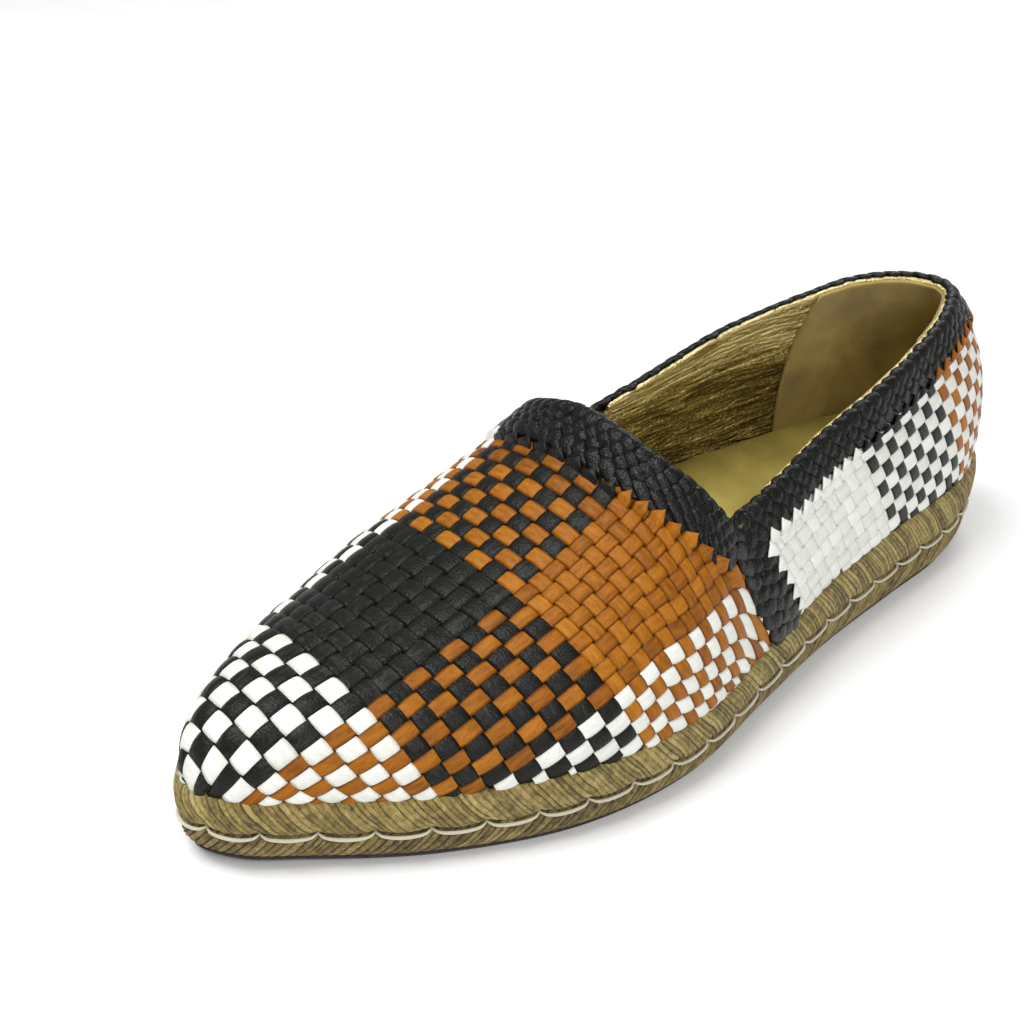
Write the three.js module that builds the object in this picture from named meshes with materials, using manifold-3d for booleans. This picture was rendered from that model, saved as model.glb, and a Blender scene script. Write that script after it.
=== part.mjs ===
import * as THREE from 'three';
import Module from 'manifold-3d';

// A woven espadrille for the left foot: millimetres, +Z up, toe towards -Y, outer side towards +X.

const wasm = await Module();
wasm.setup();

// driving sizes
const length = 258;
const ballWidth = 94;
const collarHeight = 75;
const heelSole = 25.2;
const ballSole = 16.8;
const toeSole = 18.6;
const toeSpring = 2.4;
const outsoleThickness = 1.2;
const wall = 1.8;
const bindingRaise = 2.1;
const bindingWidth = 11;
const seamWidth = 11.5;
const weaveRaise = 0.85;
const insoleThickness = 2.2;
const featherInset = 2.0;
const ribRaise = 0.55;
const edgeTurn = 1.6;
const clearance = 0.3;
const seat = 0.4;
// beyond every face of the shoe
const far = length;

// outline of the foot bed: station from heel to toe, outer and inner half widths as shares of the ball width
const outlineTable = [
  [0.00, 0.000, 0.000], [0.02, 0.120, 0.126], [0.05, 0.190, 0.202], [0.12, 0.266, 0.288], [0.22, 0.304, 0.328],
  [0.35, 0.355, 0.383], [0.48, 0.436, 0.436], [0.60, 0.510, 0.486], [0.72, 0.488, 0.482],
  [0.84, 0.359, 0.367], [0.93, 0.205, 0.215], [0.98, 0.104, 0.113], [1.00, -0.005, 0.005]
];
// ridge of the last above the floor, share of the collar height
const ridgeTable = [
  [0, 1.08], [0.12, 1.11], [0.25, 1.21], [0.40, 1.11], [0.52, 1.10], [0.62, 0.815],
  [0.72, 0.622], [0.82, 0.518], [0.90, 0.508], [1, 0.508]
];
// roundness of the cross section
const roundTable = [[0, 2.0], [0.3, 2.1], [0.5, 1.4], [0.62, 2.2], [0.75, 2.44], [1, 2.45]];
// top line above the floor, share of the collar height
const collarTable = [[0, 0.947], [0.10, 1.0], [0.22, 0.933], [0.34, 0.84], [0.46, 0.727], [0.52, 0.687], [1, 0.687]];
// sole height between heel, ball and toe: station and mix
const soleTable = [[0, heelSole], [0.2, heelSole * 0.6 + ballSole * 0.542], [0.35, heelSole * 0.55 + ballSole * 0.482],
  [0.65, ballSole * 1.006], [0.85, ballSole * 0.5 + toeSole * 0.47], [1, toeSole]];

function smooth(table, x) {
  const n = table.length;
  const h = [];
  const d = [];
  for (let i = 0; i < n - 1; i++) {
    h.push(table[i + 1][0] - table[i][0]);
    d.push((table[i + 1][1] - table[i][1]) / h[i]);
  }
  const m = new Array(n).fill(0);
  m[0] = d[0];
  m[n - 1] = d[n - 2];
  for (let i = 1; i < n - 1; i++) {
    if (d[i - 1] * d[i] > 0) {
      const a = 2 * h[i] + h[i - 1];
      const b = h[i] + 2 * h[i - 1];
      m[i] = (a + b) / (a / d[i - 1] + b / d[i]);
    }
  }
  const v = Math.min(Math.max(x, table[0][0]), table[n - 1][0]);
  let i = 0;
  while (i < n - 2 && v > table[i + 1][0]) i++;
  const s = (v - table[i][0]) / h[i];
  return table[i][1] * (1 + 2 * s) * (1 - s) ** 2 + m[i] * h[i] * s * (1 - s) ** 2
    + table[i + 1][1] * s * s * (3 - 2 * s) + m[i + 1] * h[i] * s * s * (s - 1);
}

const clamp = (v, a, b) => Math.min(Math.max(v, a), b);
const station = (y) => (length / 2 - y) / length;
const soleTop = (t) => smooth(soleTable, t);
const soleBottom = (t) => toeSpring * clamp((t - 0.75) / 0.25, 0, 1) ** 2;
const soleMiddle = (t) => soleBottom(t) + outsoleThickness
  + (soleTop(t) - soleBottom(t) - outsoleThickness) * 0.45;

// closed outline from the heel along the outer side to the toe and back
const knots = outlineTable.map((r) => new THREE.Vector3(r[1] * ballWidth, length / 2 - r[0] * length, 0));
for (let i = outlineTable.length - 2; i > 0; i--) {
  const r = outlineTable[i];
  knots.push(new THREE.Vector3(-r[2] * ballWidth, length / 2 - r[0] * length, 0));
}
const outlineCurve = new THREE.CatmullRomCurve3(knots, true, 'centripetal');
outlineCurve.arcLengthDivisions = 1200;

function outline(count, inset) {
  const pts = outlineCurve.getSpacedPoints(count).slice(0, count);
  return pts.map((p, i) => {
    const a = pts[(i + count - 1) % count];
    const b = pts[(i + 1) % count];
    const l = Math.hypot(b.x - a.x, b.y - a.y);
    const nx = -(b.y - a.y) / l;
    const ny = (b.x - a.x) / l;
    return [p.x - nx * inset, p.y - ny * inset];
  });
}

// foot line of the upper, dense, split at the toe
const foot = outline(720, featherInset);
let tip = 0;
foot.forEach((p, i) => { if (p[1] < foot[tip][1]) tip = i; });
const lastStation = station(foot[tip][1]);
const outer = foot.slice(0, tip + 1);
const inner = [foot[0]].concat(foot.slice(tip).reverse());

function halfWidth(side, t) {
  const line = side > 0 ? outer : inner;
  const y = length / 2 - t * length;
  if (y >= line[0][1]) return line[0][0];
  for (let i = 0; i < line.length - 1; i++) {
    const a = line[i];
    const b = line[i + 1];
    if (y <= a[1] && y >= b[1] && a[1] > b[1]) {
      return a[0] + (b[0] - a[0]) * (a[1] - y) / (a[1] - b[1]);
    }
  }
  return line[line.length - 1][0];
}
const middle = (t) => (halfWidth(1, t) + halfWidth(-1, t)) / 2;

// point of the last over a foot point, angle 0 at the foot line and a quarter turn on the ridge
function lastPoint(fx, fy, angle) {
  const t = station(fy);
  const base = soleTop(t);
  const k = clamp((t - 0.87) / (lastStation - 0.87), 0, 1);
  const rise = (smooth(ridgeTable, t) * collarHeight - base) * Math.max(1 - k ** 2.25, 0) ** (1 / 2.25);
  const n = roundTable.reduce((v, r, i) => {
    if (i === 0 || t < roundTable[i - 1][0]) return v;
    const q = roundTable[i - 1];
    return q[1] + (r[1] - q[1]) * clamp((t - q[0]) / (r[0] - q[0]), 0, 1);
  }, roundTable[0][1]);
  const rx = middle(t) - 0.033 * ballWidth * clamp((t - 0.42) / 0.58, 0, 1);
  const ry = Math.min(fy, length * 0.345);
  const c = Math.max(Math.cos(angle), 0) ** (2 / n);
  const s = Math.max(Math.sin(angle), 0) ** (2 / n);
  const heel = clamp(1 - t / 0.2, 0, 1);
  const dx = fx - rx;
  const dy = fy - ry;
  const l = Math.hypot(dx, dy) + 1e-9;
  const bulge = 0.016 * collarHeight * Math.sin(Math.PI * clamp(rise * s / (0.6 * collarHeight), 0, 1)) * heel;
  return [rx + dx * c + dx / l * bulge, ry + dy * c + dy / l * bulge, base + rise * s];
}

// girth walk: distance from the ridge down one side, straight on below the foot line
function wallPoint(fx, fy, fromRidge, distance) {
  const pts = [];
  for (let i = 0; i <= 48; i++) {
    const a = Math.PI / 2 * i / 48;
    pts.push(lastPoint(fx, fy, fromRidge ? Math.PI / 2 - a : a));
  }
  let d = distance;
  if (!fromRidge && d < 0) return [pts[0][0], pts[0][1], pts[0][2] + d];
  for (let i = 0; i < 48; i++) {
    const a = pts[i];
    const b = pts[i + 1];
    const l = Math.hypot(b[0] - a[0], b[1] - a[1], b[2] - a[2]);
    if (d <= l && l > 0) return a.map((v, j) => v + (b[j] - v) * d / l);
    d -= l;
  }
  const e = pts[48];
  return fromRidge ? [e[0], e[1], e[2] - d] : e;
}

function vampPoint(p, t) {
  const s = Math.min(t, lastStation - 0.0012);
  const side = p >= 0 ? 1 : -1;
  return wallPoint(halfWidth(side, s), length / 2 - s * length, true, Math.abs(p));
}
function footAt(s) {
  const u = ((s % 1) + 1) % 1 * foot.length;
  const i = Math.floor(u) % foot.length;
  const a = foot[i];
  const b = foot[(i + 1) % foot.length];
  return [a[0] + (b[0] - a[0]) * (u % 1), a[1] + (b[1] - a[1]) * (u % 1)];
}
function quarterPoint(s, v) {
  const f = footAt(s);
  return wallPoint(f[0], f[1], false, v);
}
function lifted(fn, u, v, du, dv, sign, amount) {
  const p = fn(u, v);
  const a = fn(u + du, v);
  const b = fn(u - du, v);
  const c = fn(u, v + dv);
  const d = fn(u, v - dv);
  const x = [a[0] - b[0], a[1] - b[1], a[2] - b[2]];
  const y = [c[0] - d[0], c[1] - d[1], c[2] - d[2]];
  const n = [x[1] * y[2] - x[2] * y[1], x[2] * y[0] - x[0] * y[2], x[0] * y[1] - x[1] * y[0]];
  const l = Math.hypot(n[0], n[1], n[2]) || 1;
  return p.map((q, i) => q + sign * amount * n[i] / l);
}

// closed body from a stack of equal loops; quads in the listed columns may carry a raised middle
function loft(rings, columns, peak) {
  const n = rings[0].length;
  const verts = rings.flat();
  const tris = [];
  for (let i = 0; i < rings.length - 1; i++) {
    for (let j = 0; j < n; j++) {
      const a = i * n + j;
      const b = i * n + (j + 1) % n;
      const c = b + n;
      const d = a + n;
      const m = peak && j < columns ? peak(i, j) : null;
      if (m) {
        verts.push(m);
        const e = verts.length - 1;
        tris.push([a, b, e], [b, c, e], [c, d, e], [d, a, e]);
      } else {
        tris.push([a, b, c], [a, c, d]);
      }
    }
  }
  for (const [start, flip] of [[0, true], [(rings.length - 1) * n, false]]) {
    const ring = verts.slice(start, start + n);
    const mid = [0, 1, 2].map((k) => ring.reduce((v, q) => v + q[k], 0) / n);
    verts.push(mid);
    const e = verts.length - 1;
    for (let j = 0; j < n; j++) {
      const a = start + j;
      const b = start + (j + 1) % n;
      tris.push(flip ? [b, a, e] : [a, b, e]);
    }
  }
  let volume = 0;
  for (const [a, b, c] of tris) {
    const p = verts[a];
    const q = verts[b];
    const r = verts[c];
    volume += p[0] * (q[1] * r[2] - q[2] * r[1]) + p[1] * (q[2] * r[0] - q[0] * r[2])
      + p[2] * (q[0] * r[1] - q[1] * r[0]);
  }
  const flat = tris.map((f) => (volume > 0 ? f : [f[0], f[2], f[1]])).flat();
  return new wasm.Manifold(new wasm.Mesh({
    numProp: 3, vertProperties: new Float32Array(verts.flat()), triVerts: new Uint32Array(flat)
  }));
}

// rows of the weave on the vamp: ridge distance from the middle of the shoe forwards
const ridgeWalk = [];
for (let i = 0; i <= 240; i++) {
  const t = 0.30 + (lastStation - 0.0012 - 0.30) * i / 240;
  const p = vampPoint(0, t);
  const q = ridgeWalk[i - 1];
  ridgeWalk.push([t, q ? q[1] + Math.hypot(p[1] - q[2][1], p[2] - q[2][2]) : 0, p]);
}
const walkZero = ridgeWalk.find((r) => r[0] >= 0.5)[1];
const walkEnd = ridgeWalk[240][1] - walkZero;
function stationAt(q) {
  const d = q + walkZero;
  for (let i = 0; i < 240; i++) {
    const a = ridgeWalk[i];
    const b = ridgeWalk[i + 1];
    if (d <= b[1]) return a[0] + (b[0] - a[0]) * clamp((d - a[1]) / (b[1] - a[1]), 0, 1);
  }
  return ridgeWalk[240][0];
}
const bend = (p) => 0.0745 * ballWidth * (2 * p / ballWidth) ** 2;
function vampGrid(rowCount, columnCount, base, peakLift) {
  const reach = ballWidth * 0.86;
  const first = -0.186 * length;
  const row = (i) => first + (walkEnd - first) * i / rowCount;
  const column = (j) => reach * (2 * j / columnCount - 1);
  const at = (i, j, amount) => {
    const p = column(j);
    const q = Math.min(row(i) - bend(p), walkEnd);
    const fn = (a, b) => vampPoint(a, stationAt(b));
    return lifted(fn, p, q, 0.0027 * length, 0.0027 * length, -1, amount);
  };
  const rings = [];
  for (let i = 0; i <= rowCount; i++) {
    const ring = [];
    for (let j = 0; j <= columnCount; j++) ring.push(at(i, j, base));
    const a = ring[columnCount];
    const b = ring[0];
    ring.push([a[0], a[1], -0.35 * far], [b[0], b[1], -0.35 * far]);
    rings.push(ring);
  }
  return loft(rings, columnCount, peakLift === null ? null : (i, j) => at(i + 0.5, j + 0.5, peakLift));
}
// the quarter: strips along the foot line, the crossing ones leaning towards the throat as they rise
function quarterGrid(around, high, base, peakLift) {
  const step = 0.827 * collarHeight / high;
  const s0 = 0.30;
  const at = (i, j, amount) => {
    const v = (i - 1) * step;
    const w = 1 - 2 * j / around;
    const lean = 0.5 * Math.max(v, 0) * Math.sin(Math.PI * clamp(w / 0.7, -1, 1) / 2) / (2.48 * length);
    return lifted(quarterPoint, s0 * w + lean, v, 0.0012, 0.0027 * length, -1, amount);
  };
  const rings = [];
  const down = [];
  for (let j = 0; j <= around; j++) {
    const p = at(0, j, base);
    down.push([p[0], p[1], -0.35 * far]);
  }
  rings.push(down);
  for (let i = 0; i <= high + 1; i++) {
    const ring = [];
    for (let j = 0; j <= around; j++) ring.push(at(i, j, base));
    rings.push(ring);
  }
  return loft(rings, around, peakLift === null ? null
    : (i, j) => (i === 0 ? null : at(i - 0.5, j + 0.5, peakLift)));
}

// a slab across the shoe between two height lines
function slab(low, high, count = 12) {
  const rings = [];
  for (let i = 0; i <= count; i++) {
    const t = -0.06 + 1.12 * i / count;
    const y = length / 2 - t * length;
    const a = low(clamp(t, 0, 1));
    const b = high(clamp(t, 0, 1));
    rings.push([[-far, y, a], [far, y, a], [far, y, b], [-far, y, b]]);
  }
  return loft(rings, 0, null);
}
// the opening of the collar: behind a curved throat line and above the top line
function opening(grow) {
  const half = 0.33 * ballWidth + grow;
  const deep = 0.0736 * length + grow;
  const throat = [];
  for (let i = 0; i <= 14; i++) {
    const a = -Math.PI / 2 + Math.PI * i / 14;
    const s = Math.sin(a);
    throat.push([-0.01 * ballWidth + half * Math.sign(s) * Math.abs(s) ** 0.62, -deep * Math.max(Math.cos(a), 0)]);
  }
  const plan = [[-far, 0.004 * length], ...throat, [far, 0.004 * length], [far, far], [-far, far]];
  const prism = loft([plan.map((p) => [...p, -far]), plan.map((p) => [...p, far])], 0, null);
  return prism.intersect(slab((t) => smooth(collarTable, t) * collarHeight - grow, () => far));
}
// leaning slab at the side seam, wide in y; it also parts the vamp from the quarter
function seamBody(from, to) {
  const y = (z) => length * 0.0984 - 0.548 * z;
  const rings = [-0.35 * far, far].map((z) => [
    [-far, y(z) + from, z], [far, y(z) + from, z], [far, y(z) + to, z], [-far, y(z) + to, z]
  ]);
  return loft(rings, 0, null);
}

const ahead = seamBody(-2 * far, 0.05);
const behind = seamBody(0, 2 * far);
const join = (a, b) => a.intersect(ahead).add(b.intersect(behind));
const seamStrip = seamBody(-seamWidth / 2, seamWidth / 2);
const seamRoom = seamBody(-seamWidth / 2 - clearance, seamWidth / 2 + clearance);
const bindingBody = opening(bindingWidth);
const bindingRoom = opening(bindingWidth + clearance);
const aboveSole = slab((t) => soleTop(t) + clearance, () => far);

// the largest separate bodies, with their corners on a fine grid and slivers closed up
const grid = 512;
function welded(body) {
  const m = body.getMesh();
  const ids = new Map();
  const pos = [];
  const index = [];
  for (let i = 0; i < m.numVert; i++) {
    const p = [0, 1, 2].map((k) => Math.round(m.vertProperties[i * m.numProp + k] * grid) / grid);
    const key = p.join(' ');
    if (!ids.has(key)) {
      ids.set(key, pos.length / 3);
      pos.push(...p);
    }
    index.push(ids.get(key));
  }
  const faces = new Map();
  for (let i = 0; i < m.triVerts.length; i += 3) {
    const f = [0, 1, 2].map((k) => index[m.triVerts[i + k]]);
    if (f[0] === f[1] || f[1] === f[2] || f[2] === f[0]) continue;
    const low = f.indexOf(Math.min(...f));
    const turned = [f[low], f[(low + 1) % 3], f[(low + 2) % 3]];
    const back = [turned[0], turned[2], turned[1]].join(' ');
    if (faces.has(back)) faces.delete(back);
    else faces.set(turned.join(' '), turned);
  }
  return new wasm.Manifold(new wasm.Mesh({
    numProp: 3, vertProperties: new Float32Array(pos), triVerts: new Uint32Array([...faces.values()].flat())
  }));
}
function pieces(body, count) {
  const parts = welded(welded(body)).decompose().sort((a, b) => b.volume() - a.volume());
  return parts.slice(0, count).map((b) => welded(welded(b)));
}

const inside = join(vampGrid(12, 14, -wall, null), quarterGrid(20, 4, -wall, null));
const insideSnug = join(vampGrid(12, 14, -wall - clearance, null), quarterGrid(20, 4, -wall - clearance, null));
const plain = join(vampGrid(18, 20, -seat, null), quarterGrid(32, 5, -seat, null));
const plainRoom = join(vampGrid(18, 20, clearance - seat, null), quarterGrid(32, 5, clearance - seat, null));
const raised = join(vampGrid(24, 20, bindingRaise * 0.6, bindingRaise),
  quarterGrid(40, 7, bindingRaise * 0.6, bindingRaise));
const woven = join(vampGrid(31, 26, 0, weaveRaise), quarterGrid(42, 8, 0, weaveRaise));
const room = bindingRoom.add(seamRoom);
const upper = pieces(woven.subtract(room.subtract(plain))
  .subtract(inside).subtract(opening(edgeTurn)).intersect(aboveSole), 1)[0];
const shell = raised.subtract(inside);
const binding = pieces(shell.intersect(bindingBody).subtract(opening(0))
  .subtract(plainRoom.subtract(opening(edgeTurn - clearance))).subtract(upper), 1)[0];
const seams = shell.intersect(seamStrip).subtract(bindingRoom).intersect(aboveSole).subtract(plainRoom).subtract(upper);
const seamParts = pieces(seams, 2);
const insole = insideSnug.intersect(slab((t) => soleTop(t) + clearance,
  (t) => soleTop(t) + clearance + insoleThickness)).subtract(upper);

// rope wound sole: ribs lean one way on the upper layer and the other way on the lower one
function ropeLayer(low, high, profile, lean, ribs) {
  const count = ribs * 2;
  const rings = profile.map(([h, off], r) => {
    const line = outlineCurve.getSpacedPoints(count * 8).slice(0, count * 8);
    const ring = [];
    for (let i = 0; i < count; i++) {
      const k = (i * 8 + Math.round(r * lean * 8) + count * 8) % (count * 8);
      const a = line[(k + count * 8 - 1) % (count * 8)];
      const b = line[(k + 1) % (count * 8)];
      const l = Math.hypot(b.x - a.x, b.y - a.y);
      const d = off * ballSole + (i % 2 ? 0 : -ribRaise);
      const x = line[k].x + d * -(b.y - a.y) / l;
      const y = line[k].y + d * (b.x - a.x) / l;
      const t = clamp(station(y), 0, 1);
      ring.push([x, y, low(t) + (high(t) - low(t)) * h]);
    }
    return ring;
  });
  return loft(rings, 0, null).intersect(slab(low, high));
}
const outsoleTop = (t) => soleBottom(t) + outsoleThickness;
const lowerStart = (t) => outsoleTop(t) + clearance;
const upperStart = (t) => soleMiddle(t) + clearance;
const juteUpper = ropeLayer(upperStart, soleTop, [[-0.12, -0.054], [0.4, 0], [0.78, -0.015], [1.1, -0.101]], 0.9, 108);
const juteLower = ropeLayer(lowerStart, soleMiddle, [[-0.12, -0.131], [0.5, -0.06], [1.12, -0.083]], -0.9, 92);
const outsoleLine = outline(120, 0.032 * ballWidth);
const outsole = loft([
  outsoleLine.map((p) => [p[0], p[1], -3 * outsoleThickness]),
  outsoleLine.map((p) => [p[0], p[1], 6 * outsoleThickness])
], 0, null).intersect(slab(soleBottom, outsoleTop));

const group = new THREE.Group();
group.name = 'espadrille';
function node(name, body, color, roughness, metalness) {
  const m = pieces(body, 1)[0].getMesh();
  const g = new THREE.BufferGeometry();
  const pos = new Float32Array(m.numVert * 3);
  for (let i = 0; i < m.numVert; i++) {
    for (let k = 0; k < 3; k++) pos[i * 3 + k] = m.vertProperties[i * m.numProp + k];
  }
  g.setAttribute('position', new THREE.BufferAttribute(pos, 3));
  g.setIndex(new THREE.BufferAttribute(new Uint32Array(m.triVerts), 1));
  g.computeVertexNormals();
  const mesh = new THREE.Mesh(g, new THREE.MeshStandardMaterial({ color, roughness, metalness }));
  mesh.name = name;
  group.add(mesh);
}
node('outsole', outsole, 0x3a2c2a, 0.8, 0);
node('jute_lower', juteLower, 0x8f7443, 0.95, 0);
node('jute_upper', juteUpper, 0x9a8050, 0.95, 0);
node('insole', insole, 0x8d7a4e, 0.6, 0);
node('woven_upper', upper, 0x20201f, 0.55, 0);
node('collar_binding', binding, 0x17171a, 0.5, 0);
seamParts.sort((a, b) => b.boundingBox().max[0] - a.boundingBox().max[0]);
node('seam_binding_outer', seamParts[0], 0x17171a, 0.5, 0);
node('seam_binding_inner', seamParts[1], 0x17171a, 0.5, 0);

// the origin is on the floor, under the middle of the shoe
const box = new THREE.Box3().setFromObject(group);
const onGrid = (v) => Math.round(v * grid) / grid;
group.position.set(-onGrid((box.min.x + box.max.x) / 2), -onGrid((box.min.y + box.max.y) / 2), -onGrid(box.min.z));

export default group;
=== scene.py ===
import math

import bpy
import numpy as np
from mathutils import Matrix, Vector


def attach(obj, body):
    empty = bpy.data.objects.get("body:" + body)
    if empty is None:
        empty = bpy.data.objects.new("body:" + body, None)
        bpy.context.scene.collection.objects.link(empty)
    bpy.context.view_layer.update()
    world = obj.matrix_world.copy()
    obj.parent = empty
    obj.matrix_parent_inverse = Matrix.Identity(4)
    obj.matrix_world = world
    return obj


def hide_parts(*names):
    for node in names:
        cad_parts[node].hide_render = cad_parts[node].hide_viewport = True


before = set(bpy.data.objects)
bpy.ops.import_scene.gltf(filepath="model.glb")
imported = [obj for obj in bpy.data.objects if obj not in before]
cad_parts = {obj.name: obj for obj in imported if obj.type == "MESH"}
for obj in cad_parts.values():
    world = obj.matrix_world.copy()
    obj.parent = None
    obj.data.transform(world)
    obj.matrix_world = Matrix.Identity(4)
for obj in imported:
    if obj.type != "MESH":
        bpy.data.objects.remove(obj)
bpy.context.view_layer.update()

# Rope sole, lower layer
# Braided jute cord, coiled to the shape of the foot and pressed flat; its strands show at the side.
# Sizes are in millimetres, as cut; the shoe's middle is moved to the origin when a mesh is made.
length, ball_width, collar_height = 258.0, 94.0, 75.0
heel_sole, ball_sole, toe_sole, toe_spring, tread = 25.2, 16.8, 18.6, 2.4, 1.2
to_middle = np.array([-0.92, -0.006, 0.0])
outline_points = 4096

# heart: the point inside the foot bed towards which the rings of a flat face shrink
heart = np.array([0, -4.0])

# foot bed outline: outer and inner half width, in ball widths, at shares of the length from the heel
outline_table = np.array([
    [0, 0, 0], [.02, .120, .126], [.05, .190, .202], [.12, .266, .288], [.22, .304, .328],
    [.35, .355, .383], [.48, .436, .436], [.60, .510, .486], [.72, .488, .482],
    [.84, .359, .367], [.93, .205, .215], [.98, .104, .113], [1, -.005, .005]])
sole_table = [[0, heel_sole], [.2, heel_sole * .6 + ball_sole * .542],
              [.35, heel_sole * .55 + ball_sole * .482], [.65, ball_sole * 1.006],
              [.85, ball_sole * .5 + toe_sole * .47], [1, toe_sole]]


def smooth(table, x):
    """Monotone cubic through the table's points: slopes are weighted harmonic means of the chords."""
    xk, yk = np.array(table, float).T
    h = np.diff(xk)
    d = np.diff(yk) / h
    a, b = 2 * h[1:] + h[:-1], h[1:] + 2 * h[:-1]
    same = d[:-1] * d[1:] > 0
    inner = (a + b) / (a / np.where(same, d[:-1], 1) + b / np.where(same, d[1:], 1))
    m = np.r_[d[0], np.where(same, inner, 0), d[-1]]
    v = np.clip(x, xk[0], xk[-1])
    i = np.clip(np.searchsorted(xk, v) - 1, 0, len(h) - 1)
    s = (v - xk[i]) / h[i]
    return (yk[i] * (1 + 2 * s) * (1 - s) ** 2 + m[i] * h[i] * s * (1 - s) ** 2
            + yk[i + 1] * s * s * (3 - 2 * s) + m[i + 1] * h[i] * s * s * (s - 1))


def station(y):
    """Share of the length from the heel, for a place along the shoe."""
    return (length / 2 - y) / length


def sole_top(t):
    """Height of the rope sole's upper face, from its table."""
    return smooth(sole_table, t)


def sole_bottom(t):
    """Height of the tread: flat, then a parabola up to the toe spring over the last quarter."""
    return toe_spring * np.clip((t - .75) / .25, 0, 1) ** 2


def sole_middle(t):
    """Height of the join of the rope layers, at 45 hundredths of the rope's thickness."""
    return sole_bottom(t) + tread + (sole_top(t) - sole_bottom(t) - tread) * .45


def outline(count):
    """Foot bed outline from the heel along the outer side: a closed centripetal Catmull-Rom curve, evenly
    spaced. Returns its points, its unit normals outwards and its length."""
    o = outline_table
    p = np.r_[np.c_[o[:, 1] * ball_width, length / 2 - o[:, 0] * length],
              np.c_[-o[-2:0:-1, 2] * ball_width, length / 2 - o[-2:0:-1, 0] * length]]
    q = np.roll(p, -1, 0)
    dt = np.linalg.norm(q - p, axis=1)[:, None] ** .5
    before = np.roll(dt, 1, 0)
    m = (p - np.roll(p, 1, 0)) / before - (q - np.roll(p, 1, 0)) / (before + dt) + (q - p) / dt
    u = np.linspace(0, 1, 60, endpoint=False)[:, None, None]
    c = ((2 * u**3 - 3 * u**2 + 1) * p + (u**3 - 2 * u**2 + u) * m * dt
         + (-2 * u**3 + 3 * u**2) * q + (u**3 - u**2) * np.roll(m, -1, 0) * dt)
    c = c.transpose(1, 0, 2).reshape(-1, 2)
    c = np.r_[c, c[:1]]
    s = np.r_[0, np.cumsum(np.linalg.norm(np.diff(c, axis=0), axis=1))]
    k = np.linspace(0, s[-1], count, endpoint=False)
    c = np.c_[np.interp(k, s, c[:, 0]), np.interp(k, s, c[:, 1])]
    way = np.roll(c, -1, 0) - np.roll(c, 1, 0)
    way /= np.linalg.norm(way, axis=1)[:, None]
    return c, np.c_[-way[:, 1], way[:, 0]], s[-1]


def tube_faces(rings, around):
    """Four-sided faces of a closed section carried along a path, by ring and by place in the ring."""
    i, j = np.meshgrid(np.arange(rings - 1), np.arange(around), indexing="ij")
    here, after, n = i * around, (i + 1) * around, (j + 1) % around
    return np.stack([here + j, here + n, after + n, after + j], -1).reshape(-1, 4)


def layer_faces(sheet, low, high):
    """A solid layer of the sole: sheet holds its section from the bottom to the top at each place round the
    outline, and the heights low and high of two points at the heart close its faces."""
    count, rings = sheet.shape[:2]
    k, j = np.meshgrid(np.arange(count), np.arange(rings - 1), indexing="ij")
    after = (k + 1) % count
    quads = np.stack([k * rings + j, after * rings + j, after * rings + j + 1, k * rings + j + 1], -1)
    points = np.r_[sheet.reshape(-1, 3), [[*heart, low], [*heart, high]]]
    k, after, top, end = k[:, 0], after[:, 0], rings - 1, count * rings
    caps = np.r_[np.c_[after * rings, k * rings, np.full(count, end)],
                 np.c_[k * rings + top, after * rings + top, np.full(count, end + 1)]]
    return points, quads, [caps]


def make(name, points, quads, caps=(), uv=None, tone=None, slots=None, materials=()):
    """Mesh from arrays: points in millimetres, four-sided faces and end faces, a UV map and a tone for each
    point, and a material slot for each face. All faces are turned where the volume comes out negative."""
    points = np.asarray(points, float).reshape(-1, 3)
    faces = [np.asarray(quads).reshape(-1, 4)] + [np.asarray(c).reshape(-1, np.shape(c)[-1]) for c in caps]
    volume = 0
    for f in faces:
        for k in range(1, f.shape[1] - 1):
            a, b, c = points[f[:, 0]], points[f[:, k]], points[f[:, k + 1]]
            volume += np.einsum("ij,ij->", a, np.cross(b, c))
    faces = [f[:, ::-1] if volume < 0 else f for f in faces]
    loops = np.concatenate([f.ravel() for f in faces]).astype(np.int32)
    sizes = np.concatenate([np.full(len(f), f.shape[1]) for f in faces]).astype(np.int32)
    mesh = bpy.data.meshes.new(name)
    mesh.vertices.add(len(points))
    mesh.vertices.foreach_set("co", ((points + to_middle) * .001).astype(np.float32).ravel())
    mesh.loops.add(len(loops))
    mesh.loops.foreach_set("vertex_index", loops)
    mesh.polygons.add(len(sizes))
    mesh.polygons.foreach_set("loop_start", np.r_[0, np.cumsum(sizes)[:-1]].astype(np.int32))
    mesh.polygons.foreach_set("loop_total", sizes)
    mesh.polygons.foreach_set("use_smooth", np.ones(len(sizes), bool))
    if slots is not None:
        mesh.polygons.foreach_set("material_index", np.asarray(slots, np.int32))
    mesh.update(calc_edges=True)
    if uv is not None:
        layer = mesh.uv_layers.new(name="UVMap")
        layer.data.foreach_set("uv", np.asarray(uv, np.float32).reshape(-1, 2)[loops].ravel())
    if tone is not None:
        layer = mesh.attributes.new("tone", "FLOAT", "POINT")
        layer.data.foreach_set("value", np.asarray(tone, np.float32).ravel())
    for m in materials:
        mesh.materials.append(m)
    mesh.validate()
    piece = bpy.data.objects.new(name, mesh)
    bpy.context.scene.collection.objects.link(piece)
    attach(piece, "root")
    return piece


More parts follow.
